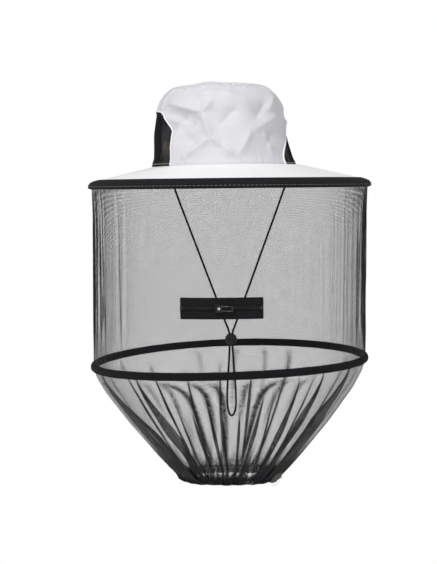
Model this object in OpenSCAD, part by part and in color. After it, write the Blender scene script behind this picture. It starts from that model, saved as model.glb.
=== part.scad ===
// Beekeeper's ventilated hat with a collapsible net veil.
// The front faces -Y and +Z is up. The origin is the centre of the head opening at the crown's base.

/* [Crown] */
// Outer radius of the crown at its base
crown_r = 88; // [87:0.5:90]
// Height of the crown above its base
crown_h = 101; // [96:1:106]
// Height at which the side turns in towards the top
shoulder_z = 62; // [56:1:68]
// Outer radius of the crown at that height
shoulder_r = 78; // [74:1:82]
// Radius of the flat part on top
top_flat_r = 38; // [34:1:42]
// Radius of the seam round the top panel
top_seam_r = 58; // [54:1:64]
// Thickness of the crown fabric with its lining
crown_t = 1.5; // [1:0.1:2]
// How far the soft crown has turned on the brim, in degrees
crown_turn = 7.5; // [-10:0.5:10]
// Half the width of a vent at the crown's base, in degrees
vent_half_angle = 34; // [30:1:40]
// Height of a vent
vent_h = 66; // [60:1:74]

/* [Brim] */
// Radius at which the brim's layers end inside the binding
brim_layer_r = 166; // [164:0.5:166.5]
// Drop of the brim's top surface from the crown to its edge
brim_drop = 18.5; // [12:0.5:24]
// Thickness of the stiffening board
board_t = 4; // [3:0.5:5]
// Thickness of each fabric cover
cover_t = 0.8; // [0.6:0.1:1]
// Width of the binding on each face of the brim
binding_w = 9; // [7:1:12]

/* [Veil] */
// Outer radius of the upper net
net_r = 166.5; // [165:0.5:168]
// Thickness of the net with its folds
net_t = 0.8; // [0.6:0.1:1]
// Height of the hoop's centre
hoop_z = -237; // [-250:1:-225]
// Radius of the hoop's centre line
hoop_r = 165.3; // [164:0.1:166]
// Radius of the hoop wire
hoop_wire_r = 2; // [1.5:0.1:2.2]
// Outer radius of the neck hem
neck_r = 62.5; // [58:0.5:70]
// Height of the lowest edge of the neck hem
neck_z = -384; // [-390:1:-370]

/* [Zip] */
// Height of the zip's centre line
zip_z = -161.4; // [-170:0.2:-150]
// Half the length of the zip, in degrees round the veil
zip_half_angle = 16.2; // [14:0.1:18]
// How far round from the front the zip is sewn, in degrees
zip_turn = -3.6; // [-5:0.1:5]
// Height of the whole zip tape
zip_h = 24.4; // [22:0.2:28]
// Where the slider stands along the zip, in degrees from its centre
slider_turn = -0.8; // [-8:0.1:8]
// Length of the puller
puller_l = 16; // [10:1:16]

/* [Chin cord] */
// Diameter of the chin cord
cord_d = 2.6; // [2.2:0.1:2.8]
// Radius of the round lock
lock_r = 7.2; // [7:0.1:8]

/* [Hidden] */
$fn = 96;
GAP = 0.1; // clearance between sewn layers
FAR = 400; // longer than the whole hat

// ---------- crown ----------

// The crown's outline, moved inwards by inset, from its base to its middle
function crown_curve(inset) = concat(
    [[crown_r - inset, 0]],
    [for (a = [0 : 15 : 90])
        [top_flat_r + (shoulder_r - top_flat_r - inset) * cos(a),
         shoulder_z + (crown_h - shoulder_z - inset) * sin(a)]],
    [[0, crown_h - inset]]
);

function reversed(points) = [for (i = [len(points) - 1 : -1 : 0]) points[i]];

// A full shell between two insets of the crown's outline
module crown_shell(outer, inner) {
    rotate_extrude()
        polygon(concat(crown_curve(outer), reversed(crown_curve(inner))));
}

// The shell of the crown between two angles, outside the top seam
module crown_panel(from, to) {
    difference() {
        rotate_extrude(angle = to - from, start = from)
            polygon(concat(crown_curve(0), reversed(crown_curve(crown_t))));
        translate([0, 0, shoulder_z]) cylinder(r = top_seam_r, h = FAR);
    }
}

// Half the width of a vent, in millimetres, at the crown's base
vent_w = crown_r * sin(vent_half_angle);

// A vent's arched outline. grow moves its edge outwards
module vent_outline(grow = 0) {
    polygon([
        [-vent_w - grow, -1],
        [-vent_w - grow, vent_h * 0.4],
        [-vent_w * 0.78 - grow, vent_h * 0.66 + grow],
        [-vent_w * 0.4 - grow, vent_h * 0.94 + grow],
        [0, vent_h + grow],
        [vent_w * 0.4 + grow, vent_h * 0.94 + grow],
        [vent_w * 0.78 + grow, vent_h * 0.66 + grow],
        [vent_w + grow, vent_h * 0.4],
        [vent_w + grow, -1]
    ]);
}

// The outline of a whole side: the vent with the yoke above it. grow moves its edges outwards
module side_outline(grow = 0) {
    polygon([
        [-vent_w - grow, -1],
        [-vent_w - grow, vent_h * 0.4],
        [-vent_w * 0.78 - grow, vent_h * 0.66 + grow],
        [-vent_w * 0.4 - grow, vent_h * 0.94 + grow],
        [-vent_w * 0.36 - grow, crown_h + 10],
        [vent_w * 0.36 + grow, crown_h + 10],
        [vent_w * 0.4 + grow, vent_h * 0.94 + grow],
        [vent_w * 0.78 + grow, vent_h * 0.66 + grow],
        [vent_w + grow, vent_h * 0.4],
        [vent_w + grow, -1]
    ]);
}

// Stands an outline up and runs it out to one side. side is -1 for left and 1 for right
module sideways(side) {
    mirror([side < 0 ? 1 : 0, 0, 0]) rotate([90, 0, 90]) linear_extrude(FAR) children();
}

PIPING_W = 2; // width of the piping round a vent

module crown_top() {
    color("whitesmoke") rotate([0, 0, crown_turn])
        intersection() {
            crown_shell(0, crown_t);
            cylinder(r = top_seam_r - GAP, h = FAR);
        }
}

// The front or the back panel, which starts at an angle and goes half way round
module crown_main_panel(start) {
    color("whitesmoke") rotate([0, 0, crown_turn])
        difference() {
            crown_panel(start, start + 180);
            for (side = [-1, 1]) sideways(side) side_outline(PIPING_W + GAP);
        }
}

module crown_side(side) {
    color("gainsboro") rotate([0, 0, crown_turn])
        difference() {
            intersection() {
                crown_panel(90 - side * 90 - 60, 90 - side * 90 + 60);
                sideways(side) side_outline(PIPING_W);
            }
            sideways(side) vent_outline(PIPING_W + GAP);
        }
}

module vent_piping(side) {
    color("white") rotate([0, 0, crown_turn])
        difference() {
            intersection() {
                crown_panel(90 - side * 90 - 60, 90 - side * 90 + 60);
                sideways(side) vent_outline(PIPING_W);
            }
            sideways(side) vent_outline(GAP);
        }
}

module vent_mesh(side) {
    color("dimgray") rotate([0, 0, crown_turn])
        intersection() {
            crown_panel(90 - side * 90 - 60, 90 - side * 90 + 60);
            sideways(side) vent_outline();
        }
}

module crown_seam_binding() {
    color("lightgray") rotate([0, 0, crown_turn])
        difference() {
            intersection() {
                crown_shell(crown_t + GAP, crown_t + 1);
                cylinder(r = top_seam_r + 4, h = FAR);
            }
            cylinder(r = top_seam_r - 4, h = FAR);
        }
}

BAND_H = 30; // height of the sweatband
BAND_T = 1.5; // thickness of the sweatband

// How far the crown's side leans in per millimetre of height
side_lean = (crown_r - shoulder_r) / shoulder_z;

module sweatband() {
    outer = crown_r - crown_t - 2 * GAP;
    color("tan")
        rotate_extrude() polygon([
            [outer, 0],
            [outer - side_lean * BAND_H, BAND_H],
            [outer - side_lean * BAND_H - BAND_T, BAND_H],
            [outer - BAND_T, 0]
        ]);
}

// ---------- brim ----------

EDGE_R = 168; // radius of the wire in the brim's edge
WIRE_R = 1.3; // radius of that wire
BINDING_T = 0.9; // thickness of the binding

// Height of the brim's top surface at a radius
function brim_z(r) = -brim_drop * (r - crown_r) / (EDGE_R - crown_r);

// A layer of the brim between two depths below its top surface
module brim_layer(r1, r2, top, bottom) {
    rotate_extrude() polygon([
        [r1, brim_z(r1) - top],
        [r2, brim_z(r2) - top],
        [r2, brim_z(r2) - bottom],
        [r1, brim_z(r1) - bottom]
    ]);
}

board_top = cover_t + GAP;
board_bottom = board_top + board_t;
brim_bottom = board_bottom + GAP + cover_t;
edge_z = brim_z(EDGE_R) - brim_bottom / 2;

module brim_top_fabric() {
    color("white") brim_layer(crown_r + GAP, brim_layer_r, 0, cover_t);
}

module brim_stiffener() {
    color("wheat") brim_layer(crown_r + 1, brim_layer_r, board_top, board_bottom);
}

module brim_bottom_fabric() {
    color("white") brim_layer(crown_r + GAP, brim_layer_r, board_bottom + GAP, brim_bottom);
}

module brim_edge_wire() {
    color("silver") rotate_extrude() translate([EDGE_R, edge_z]) circle(r = WIRE_R, $fn = 24);
}

// The outline of the brim's edge: two straight faces and a round nose, moved outwards by grow
function edge_outline(r1, grow) = concat(
    [[r1, brim_z(r1) - brim_bottom - grow], [EDGE_R, brim_z(EDGE_R) - brim_bottom - grow]],
    [for (a = [-75 : 15 : 75])
        [EDGE_R + (brim_bottom / 2 + grow) * cos(a), edge_z + (brim_bottom / 2 + grow) * sin(a)]],
    [[EDGE_R, brim_z(EDGE_R) + grow], [r1, brim_z(r1) + grow]]
);

module brim_edge_binding() {
    inner = EDGE_R - binding_w;
    color("black") rotate_extrude() difference() {
        polygon(edge_outline(inner, GAP + BINDING_T));
        polygon(edge_outline(inner - 1, GAP));
    }
}

// ---------- upper veil ----------

// Where the net starts below the brim's binding
net_top = brim_z(EDGE_R) - brim_bottom - BINDING_T - 2 * GAP;
NET_FLARE = 1.5; // how much wider the net is at the brim
FLARE_H = 34; // height over which it narrows
SLEEVE_H = 4.4; // half the height of the hoop's sleeve
SLEEVE_W = 4.2; // half the width of the hoop's sleeve
SLEEVE_T = 0.8; // thickness of the sleeve
net_bottom = hoop_z + SLEEVE_H + GAP;

ZIP_OVERLAP = 4; // how far the zip tape overlaps the edge of the net
SEAM_ANGLE = -9.5; // where the net's side seam runs, in degrees round from +X
SEAM_W = 3.6; // width of that seam, in degrees
TOP_TAPE_H = 2.5; // height of the tape inside the top of the net
TOP_TAPE_T = 1; // thickness of that tape

module veil_top_tape() {
    outer = net_r + NET_FLARE - net_t - 4 * GAP;
    color("black") rotate_extrude()
        translate([outer - TOP_TAPE_T, net_top - TOP_TAPE_H]) square([TOP_TAPE_T, TOP_TAPE_H]);
}

module veil_net_upper() {
    half = zip_half_angle - 1.2;
    high = zip_h / 2 - ZIP_OVERLAP;
    color([0.15, 0.15, 0.17, 0.4]) difference() {
        rotate_extrude() polygon([
            [net_r + NET_FLARE, net_top],
            [net_r, net_top - FLARE_H],
            [net_r, net_bottom],
            [net_r - net_t, net_bottom],
            [net_r - net_t, net_top - FLARE_H],
            [net_r + NET_FLARE - net_t, net_top]
        ]);
        rotate([0, 0, 270 + zip_turn])
            rotate_extrude(angle = 2 * half, start = -half)
                translate([net_r - 5, zip_z - high]) square([10, 2 * high]);
    }
}

module veil_side_seam() {
    outer = net_r - net_t - GAP;
    low = net_bottom;
    high = net_top - TOP_TAPE_H - 2 * GAP;
    color("black")
        rotate_extrude(angle = SEAM_W, start = SEAM_ANGLE - SEAM_W / 2)
            translate([outer - 1, low]) square([1, high - low]);
}

// ---------- hoop and skirt ----------

FERRULE_R = 3; // outer radius of the crimp on the hoop wire
FERRULE_ANGLE = 7; // length of the crimp, in degrees round the hoop

module hoop_wire() {
    color("silver") rotate_extrude(angle = 359.6, start = 90.2)
        translate([hoop_r, hoop_z]) circle(r = hoop_wire_r, $fn = 24);
}

module hoop_ferrule() {
    color("gray") rotate_extrude(angle = FERRULE_ANGLE, start = 90 - FERRULE_ANGLE / 2)
        translate([hoop_r, hoop_z]) difference() {
            circle(r = FERRULE_R, $fn = 24);
            circle(r = hoop_wire_r + 0.05, $fn = 24);
        }
}

// An oval with the sleeve's proportions, made smaller by inset
function oval(inset) = [for (a = [0 : 15 : 345]) [(SLEEVE_W - inset) * cos(a), (SLEEVE_H - inset) * sin(a)]];

module hoop_sleeve() {
    color("black") rotate_extrude() translate([hoop_r, hoop_z]) difference() {
        polygon(oval(0));
        polygon(oval(SLEEVE_T));
    }
}

HEM_H = 9; // height of the neck hem
HEM_T = 0.9; // thickness of its casing
HEM_W = 6; // width of the casing across
ELASTIC_T = 1.5; // thickness of the elastic

skirt_top = hoop_z - SLEEVE_H - GAP;
hem_top = neck_z + HEM_H;
skirt_bottom = hem_top + GAP;

belly_r = hoop_r - 42; // radius of the skirt half way down, where it hangs fuller than a cone
belly_z = (skirt_top + skirt_bottom) / 2; // height of that place

module veil_net_skirt() {
    color([0.15, 0.15, 0.17, 0.5]) rotate_extrude() polygon([
        [hoop_r + net_t / 2, skirt_top],
        [hoop_r - 4, skirt_top - 13],
        [belly_r, belly_z],
        [neck_r + 9, skirt_bottom + 8],
        [neck_r - 0.2, skirt_bottom],
        [neck_r - 2, skirt_bottom],
        [neck_r + 7.9, skirt_bottom + 9],
        [belly_r - 1.2, belly_z],
        [hoop_r - 5.2, skirt_top - 13],
        [hoop_r - net_t, skirt_top]
    ]);
}

module neck_hem_casing() {
    color("black") rotate_extrude() difference() {
        translate([neck_r - HEM_W, neck_z]) square([HEM_W, HEM_H]);
        translate([neck_r - HEM_W + HEM_T, neck_z + HEM_T])
            square([HEM_W - 2 * HEM_T, HEM_H - 2 * HEM_T]);
    }
}

module neck_elastic() {
    middle = neck_r - HEM_W / 2;
    color("white") rotate_extrude()
        translate([middle - ELASTIC_T / 2, neck_z + HEM_T + 0.3])
            square([ELASTIC_T, HEM_H - 2 * HEM_T - 0.6]);
}

LABEL_W = 15; // width of the care label
LABEL_H = 11; // height of the care label
LABEL_ANGLE = -31; // where it is sewn, in degrees round from +X

module care_label() {
    color("darkkhaki") rotate([0, 0, LABEL_ANGLE])
        translate([neck_r + GAP, -LABEL_W / 2, neck_z - 2]) cube([0.6, LABEL_W, LABEL_H]);
}

// ---------- zip ----------

TAPE_T = 0.8; // thickness of the zip tape
COIL_T = 1.3; // thickness of the coil
COIL_W = 2; // width of each half of the coil
SLIT = 0.5; // half the slit between the two halves
STOP_ANGLE = 0.8; // length of a stop, in degrees
tape_r = net_r + 0.3;
coil_r = tape_r + TAPE_T + GAP;
coil_end = zip_half_angle - 0.1 - STOP_ANGLE;

// A curved bar of the zip from radius r outwards, centred on the front
module zip_bar(r, thick, low, high, from, to) {
    rotate([0, 0, 270 + zip_turn])
        rotate_extrude(angle = to - from, start = from)
            translate([r, zip_z + low]) square([thick, high - low]);
}

module zip_tape(side) {
    color("black") zip_bar(tape_r, TAPE_T, side > 0 ? SLIT : -zip_h / 2,
        side > 0 ? zip_h / 2 : -SLIT, -zip_half_angle, zip_half_angle);
}

module zip_coil(side) {
    color("dimgray") zip_bar(coil_r, COIL_T, side > 0 ? SLIT : -SLIT - COIL_W,
        side > 0 ? SLIT + COIL_W : -SLIT, -coil_end + 0.1, coil_end - 0.1);
}

module zip_stop(side) {
    start = side < 0 ? -coil_end - STOP_ANGLE : coil_end;
    color("dimgray") zip_bar(coil_r, COIL_T + 0.4, -SLIT - COIL_W, SLIT + COIL_W, start, start + STOP_ANGLE);
}

SLIDER_L = 9; // length of the slider
SLIDER_H = 9; // height of the slider
PLATE_T = 1.2; // thickness of each plate of the slider
PIN_R = 0.5; // radius of the pin that the puller turns on
PULLER_H = 5.6; // height of the puller
PULLER_T = 1; // thickness of the puller

plate_r = coil_r + COIL_T + 0.2;
pin_y = plate_r + PLATE_T + 1.6;
slider_angle = zip_turn + slider_turn;

module zip_slider_body() {
    lug_h = 1;
    lug_z = PULLER_H / 2 + 0.2;
    color("silver") rotate([0, 0, slider_angle]) translate([0, 0, zip_z]) {
        // outer plate
        translate([-SLIDER_L / 2, -plate_r - PLATE_T, -SLIDER_H / 2])
            cube([SLIDER_L, PLATE_T, SLIDER_H]);
        // flanges above and below the coil
        for (side = [-1, 1])
            translate([-SLIDER_L / 2, -plate_r - 0.1, side * (SLIDER_H / 2 - 0.7) - 0.7])
                cube([SLIDER_L, plate_r + 0.1 - coil_r - 0.1, 1.4]);
        // neck that runs in the slit
        translate([-SLIDER_L / 2, -plate_r - 0.1, -0.35])
            cube([2, plate_r - tape_r + 2, 0.7]);
        // inner plate
        translate([-SLIDER_L / 2, -tape_r + 0.3, -SLIDER_H / 2])
            cube([SLIDER_L, PLATE_T, SLIDER_H]);
        // lugs and pin for the puller
        for (side = [-1, 1])
            translate([-1, -pin_y - 0.9, side * (lug_z + lug_h / 2) - lug_h / 2])
                cube([2, pin_y + 0.9 - plate_r - 0.2, lug_h]);
        translate([0, -pin_y, -lug_z - 0.2]) cylinder(r = PIN_R, h = 2 * lug_z + 0.4, $fn = 32);
    }
}

module zip_puller() {
    window_l = puller_l - 5.5;
    color("dimgray") rotate([0, 0, slider_angle]) translate([0, -pin_y, zip_z])
        difference() {
            union() {
                cylinder(r = 1.2, h = PULLER_H, center = true, $fn = 32);
                translate([0, -PULLER_T / 2, -PULLER_H / 2]) cube([puller_l, PULLER_T, PULLER_H]);
            }
            cylinder(r = PIN_R + 0.08, h = FAR, center = true, $fn = 32);
            translate([3.5, -FAR / 2, -PULLER_H / 2 + 1.2]) cube([window_l, FAR, PULLER_H - 2.4]);
        }
}

// ---------- chin cord ----------

ANCHOR_Z = -7; // height of the hole in each cord anchor
ANCHOR_X = 79.4; // outer face of the tab round that hole
ANCHOR_W = 10; // width of the webbing tab
KNOT_R = 2.2; // radius of the knot behind each tab
LOCK_Z = -212; // height of the cord lock's centre

// The right leg of the cord, from its knot to the lock, as x and z
LEG = [
    [81.5, -7], [77, -7], [74.6, -8.4], [73, -11.5], [71.5, -15.5], [66, -30], [58, -52],
    [48, -79], [38, -106], [28, -133], [18, -160], [10, -182], [5.5, -194], [2.8, -201],
    [1.7, -206], [1.7, -212]
];

// Half of the tail loop, from the lock to its lowest point
TAIL = [
    [1.7, -212], [1.7, -220], [2.2, -229], [2.9, -241], [3.8, -254], [4.7, -267], [5.3, -279],
    [5.4, -288], [5, -295], [3.8, -301], [2, -304.8], [0, -306.2]
];

function mirrored(points) = [for (p = points) [-p[0], p[1]]];
function direction(points, i) =
    let (a = points[max(i - 1, 0)], b = points[min(i + 1, len(points) - 1)], d = b - a) d / norm(d);

// A round tube along points that lie in the plane of X and Z
module tube(points, d) {
    sides = 8;
    n = len(points);
    ring = [for (i = [0 : n - 1], k = [0 : sides - 1])
        let (t = direction(points, i), a = 360 * k / sides, across = d / 2 * cos(a))
        [points[i][0] - t[1] * across, d / 2 * sin(a), points[i][1] + t[0] * across]];
    walls = [for (i = [0 : n - 2], k = [0 : sides - 1])
        let (a = i * sides + k, b = i * sides + (k + 1) % sides) [a, b, b + sides, a + sides]];
    ends = [
        [for (k = [sides - 1 : -1 : 0]) k],
        [for (k = [0 : sides - 1]) (n - 1) * sides + k]
    ];
    polyhedron(ring, concat(walls, ends));
}

// One leg of the cord with the knot at its end. side is -1 for left and 1 for right
module chin_cord_leg(side) {
    color("black") {
        tube(side < 0 ? mirrored(LEG) : LEG, cord_d);
        translate([side * (ANCHOR_X + GAP + KNOT_R), 0, ANCHOR_Z]) sphere(r = KNOT_R, $fn = 24);
    }
}

module chin_cord_loop() {
    rising = [for (i = [len(TAIL) - 2 : -1 : 0]) TAIL[i]];
    color("black") tube(concat(mirrored(TAIL), rising), cord_d);
}

// A webbing tab that steps in from the sweatband and holds the cord in a hole along X
module cord_anchor(side) {
    top = 8;
    outer = crown_r - crown_t - BAND_T - 3 * GAP - side_lean * top - 0.3;
    color("black") mirror([side < 0 ? 1 : 0, 0, 0])
        difference() {
            translate([0, ANCHOR_W / 2, 0]) rotate([90, 0, 0]) linear_extrude(ANCHOR_W) polygon([
                [outer, top], [outer, 0], [ANCHOR_X, -3], [ANCHOR_X, -11],
                [ANCHOR_X - 1.6, -11], [ANCHOR_X - 1.6, -2], [outer - 1.6, 1], [outer - 1.6, top]
            ]);
            translate([ANCHOR_X - 5, 0, ANCHOR_Z]) rotate([0, 90, 0])
                cylinder(r = cord_d / 2 + 0.3, h = 10, $fn = 32);
        }
}

// ---------- cord lock ----------

REAR_Y = 3; // how far the round body is drawn out towards the back
BORE_R = 4.3; // radius of the bore for the button
BORE_END = 7.8; // depth of that bore
BUTTON_R = 4.1; // radius of the button
BUTTON_FRONT = -9.6; // front face of the button
BUTTON_REAR = 2.9; // rear face of the button
PASSAGE = [6.8, 3.4]; // size of the cord's passage along X and Y
TRAVEL = 2.4; // how far the button presses in

// The body's outline from its front to its rear, turned about the Y axis
function lock_outline() = concat(
    [for (a = [0 : 15 : 90]) [lock_r * sin(a), lock_r * cos(a)]],
    [for (a = [90 : 15 : 180]) [lock_r * sin(a), lock_r * cos(a) - REAR_Y]]
);

module lock_body() {
    color("black") translate([0, 0, LOCK_Z]) difference() {
        rotate([90, 0, 0]) rotate_extrude() polygon(lock_outline());
        translate([0, BORE_END, 0]) rotate([90, 0, 0]) cylinder(r = BORE_R, h = 30, $fn = 48);
        cube([PASSAGE[0], PASSAGE[1], 30], center = true);
    }
}

module lock_button() {
    color("dimgray") translate([0, 0, LOCK_Z]) difference() {
        translate([0, BUTTON_REAR, 0]) rotate([90, 0, 0])
            cylinder(r = BUTTON_R, h = BUTTON_REAR - BUTTON_FRONT, $fn = 48);
        translate([-PASSAGE[0] / 2, -PASSAGE[1] / 2 - TRAVEL, -15])
            cube([PASSAGE[0], PASSAGE[1] + TRAVEL, 30]);
    }
}

SPRING_R = 3.1; // radius of the spring's coil
SPRING_WIRE = 0.3; // radius of its wire
SPRING_TURNS = 3; // number of turns

module lock_spring() {
    steps = 16;
    sides = 6;
    n = SPRING_TURNS * steps + 1;
    length = BORE_END - BUTTON_REAR - 2 * SPRING_WIRE - 2 * GAP;
    y0 = BUTTON_REAR + SPRING_WIRE + GAP;
    ring = [for (i = [0 : n - 1], k = [0 : sides - 1])
        let (turn = 360 * i / steps, a = 360 * k / sides, r = SPRING_R + SPRING_WIRE * cos(a))
        [r * cos(turn), y0 + length * i / (n - 1) + SPRING_WIRE * sin(a), r * sin(turn)]];
    walls = [for (i = [0 : n - 2], k = [0 : sides - 1])
        let (a = i * sides + k, b = i * sides + (k + 1) % sides) [a, b, b + sides, a + sides]];
    ends = [
        [for (k = [sides - 1 : -1 : 0]) k],
        [for (k = [0 : sides - 1]) (n - 1) * sides + k]
    ];
    color("silver") translate([0, 0, LOCK_Z]) polyhedron(ring, concat(walls, ends));
}

crown_top();
crown_main_panel(180);  // crown_front
crown_main_panel(0);  // crown_back
crown_side(-1);  // crown_side_left
crown_side(1);  // crown_side_right
vent_mesh(-1);  // vent_mesh_left
vent_mesh(1);  // vent_mesh_right
vent_piping(-1);  // vent_piping_left
vent_piping(1);  // vent_piping_right
crown_seam_binding();
sweatband();
brim_top_fabric();
brim_stiffener();
brim_bottom_fabric();
brim_edge_wire();
brim_edge_binding();
veil_top_tape();
veil_net_upper();
veil_side_seam();
cord_anchor(-1);  // cord_anchor_left
cord_anchor(1);  // cord_anchor_right
hoop_wire();
hoop_ferrule();
hoop_sleeve();
veil_net_skirt();
neck_hem_casing();
neck_elastic();
care_label();
zip_tape(1);  // zip_tape_upper
zip_tape(-1);  // zip_tape_lower
zip_coil(1);  // zip_coil_upper
zip_coil(-1);  // zip_coil_lower
zip_stop(-1);  // zip_stop_left
zip_stop(1);  // zip_stop_right
zip_slider_body();
zip_puller();
chin_cord_leg(-1);  // chin_cord_left
chin_cord_leg(1);  // chin_cord_right
chin_cord_loop();
lock_body();
lock_spring();
lock_button();
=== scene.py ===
import math

import bpy
import numpy as np
from mathutils import Euler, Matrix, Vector
from numpy import arange, array, clip, concatenate, cos, exp, hypot, interp, linspace, pi, radians, sin


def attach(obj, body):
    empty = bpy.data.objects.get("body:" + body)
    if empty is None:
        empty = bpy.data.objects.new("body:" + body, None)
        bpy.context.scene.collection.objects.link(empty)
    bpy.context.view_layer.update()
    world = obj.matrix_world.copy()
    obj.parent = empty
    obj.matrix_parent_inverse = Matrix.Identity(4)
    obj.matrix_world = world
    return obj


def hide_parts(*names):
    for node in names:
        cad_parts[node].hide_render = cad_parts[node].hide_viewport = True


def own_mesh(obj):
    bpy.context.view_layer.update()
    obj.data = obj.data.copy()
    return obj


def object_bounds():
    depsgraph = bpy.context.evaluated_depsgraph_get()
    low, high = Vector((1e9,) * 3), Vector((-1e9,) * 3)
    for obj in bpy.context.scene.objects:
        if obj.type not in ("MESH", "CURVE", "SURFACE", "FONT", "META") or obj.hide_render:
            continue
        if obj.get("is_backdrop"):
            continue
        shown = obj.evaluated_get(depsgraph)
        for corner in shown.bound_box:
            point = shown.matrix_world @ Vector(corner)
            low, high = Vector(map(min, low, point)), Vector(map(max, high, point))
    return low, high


# A beekeeper's ventilated hat with a collapsible net veil, front at -Y, Z up. The materials are in metres.

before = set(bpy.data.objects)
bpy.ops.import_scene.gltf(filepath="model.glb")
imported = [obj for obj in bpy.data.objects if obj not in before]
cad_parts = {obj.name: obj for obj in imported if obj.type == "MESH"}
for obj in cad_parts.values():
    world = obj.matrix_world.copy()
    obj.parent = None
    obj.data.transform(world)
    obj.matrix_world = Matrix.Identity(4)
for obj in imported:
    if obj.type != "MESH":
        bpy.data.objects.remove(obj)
CAD_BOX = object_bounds()
MM = 0.001
TAU = 2 * pi
rng = np.random.default_rng(11)

# ---- camera ----


def placed(name, data):
    """A new object in the scene."""
    obj = bpy.data.objects.new(name, data)
    bpy.context.scene.collection.objects.link(obj)
    return obj


camera = placed("camera", bpy.data.cameras.new("camera"))
camera.data.lens = 99.8
camera.location = (0, -1.908, -0.027)
camera.rotation_euler = Euler((radians(90 - 3.44), radians(0.6), radians(0.403)), "XYZ")
bpy.context.scene.camera = camera

# ---- mesh helpers ----


def stack(*parts):
    """Arrays of coordinates as one array of points."""
    return np.stack(np.broadcast_arrays(*parts), -1)


def around(count):
    """Angles once round in count steps, one to a column of a piece."""
    return linspace(0, TAU, count, endpoint=False)[:, None]


def span(low, high, count):
    """Evenly spaced values, one to a row of a piece."""
    return linspace(low, high, count)[None, :]


def polar(r, theta, z, shift=0):
    """Points at a radius, angle and height, moved by shift along X."""
    return stack(r * cos(theta) + shift, r * sin(theta), z)


def waves(x, table):
    """The sum of cosines in table, each (amplitude, turns per unit, phase)."""
    return sum(a * cos(TAU * (k * x + p)) for a, k, p in table)


def running_mean(values, reach):
    """The mean of each value and its neighbours up to reach away."""
    window = 2 * reach + 1
    return np.convolve(np.pad(values, reach, "edge"), np.ones(window) / window, "valid")


def smooth_line(xs, ys):
    """A function through the points, with its corners rounded but its ends kept."""
    fine = linspace(xs[0], xs[-1], 400)
    straight = interp(fine, xs, ys)
    blend = clip(np.minimum(fine - fine[0], fine[-1] - fine) / (fine[-1] - fine[0]) * 25, 0, 1)
    soft = straight + (running_mean(straight, 12) - straight) * blend
    return lambda x: interp(x, fine, soft)


def rounded(corners, count, reach):
    """The two coordinates of a line through the corners in count points, with its corners rounded."""
    fine = linspace(0, len(corners) - 1, count)
    return [running_mean(interp(fine, range(len(corners)), corners[:, k]), reach) for k in (0, 1)]


def grid(points, wrap=False, keep=None):
    """Quads between columns and rows of points, the last column joined to the first when wrap is true."""
    nu, nv = points.shape[:2]
    i, j = np.meshgrid(arange(nu if wrap else nu - 1), arange(nv - 1), indexing="ij")
    if keep is not None:
        wanted = keep(i, j)
        i, j = i[wanted], j[wanted]
    a = i * nv + j
    b = (i + 1) % nu * nv + j
    return stack(a, b, b + 1, a + 1).reshape(-1, 4)


def ring_quads(points, wrap=True):
    """Quads of a row of closed loops of points, the last loop joined to the first when wrap is true."""
    nu, nv = points.shape[:2]
    i, j = np.meshgrid(arange(nu if wrap else nu - 1), arange(nv), indexing="ij")
    a = i * nv
    b = (i + 1) % nu * nv
    k = (j + 1) % nv
    return stack(a + j, b + j, b + k, a + k).reshape(-1, 4)


def piece(name, points, faces, body, slot, mat, replaces=None, uv=None, dense=None):
    """A mesh object that rides on a body and may stand for a CAD node. uv and dense are per point."""
    points = np.asarray(points, float).reshape(-1, 3) * MM
    mesh = bpy.data.meshes.new(name)
    mesh.from_pydata(points.tolist(), [], [tuple(int(k) for k in f) for f in faces])
    mesh.polygons.foreach_set("use_smooth", np.ones(len(mesh.polygons), bool))
    if uv is not None:
        loops = np.zeros(len(mesh.loops), np.int32)
        mesh.loops.foreach_get("vertex_index", loops)
        layer = mesh.uv_layers.new(name="UVMap")
        layer.data.foreach_set("uv", (np.asarray(uv, float).reshape(-1, 2) * MM)[loops].ravel())
    if dense is not None:
        values = np.broadcast_to(np.asarray(dense, np.float32).ravel(), (len(points),))
        mesh.attributes.new("dense", "FLOAT", "POINT").data.foreach_set("value", values.copy())
    mesh.materials.append(mat)
    mesh.validate()
    obj = placed(name, mesh)
    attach(obj, body)
    if replaces:
        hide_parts(replaces)
    return obj


def thick(obj, thickness, offset=-1.0):
    """Gives a surface its thickness, inwards unless offset says otherwise."""
    m = obj.modifiers.new("thickness", "SOLIDIFY")
    m.thickness = thickness * MM
    m.offset = offset
    m.use_even_offset = True


def sweep_tube(path, radius, sides=8, closed=False, squash=1.0, up=(0, 0, 1)):
    """Points and faces of a tube along a path. squash flattens it across up."""
    tangent = np.roll(path, -1, 0) - np.roll(path, 1, 0) if closed else np.gradient(path, axis=0)
    tangent /= np.linalg.norm(tangent, axis=1, keepdims=True)
    side = np.cross(tangent, up)
    side /= np.linalg.norm(side, axis=1, keepdims=True) + 1e-12
    top = np.cross(side, tangent)
    a = (arange(sides) / sides * TAU)[None, :, None]
    radius = (radius + np.zeros(len(path)))[:, None, None]
    pts = path[:, None, :] + radius * (cos(a) * side[:, None, :] + squash * sin(a) * top[:, None, :])
    faces = list(ring_quads(pts, closed))
    if not closed:
        faces += [range(sides)[::-1], range(len(path) * sides)[-sides:]]
    return pts.reshape(-1, 3), faces


def join(parts):
    """Several (points, faces) as one."""
    points, faces, base = [], [], 0
    for p, f in parts:
        points.append(p)
        faces += [[k + base for k in q] for q in f]
        base += len(p)
    return concatenate(points), faces


def dashes(count, length, steps, path, radius):
    """A ring of count stitches. path gives points for angles, and length is one stitch's angle."""
    starts = arange(count) / count * TAU
    return join([sweep_tube(path(linspace(a, a + length, steps)), radius, 5) for a in starts])


# ---- materials ----


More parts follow.
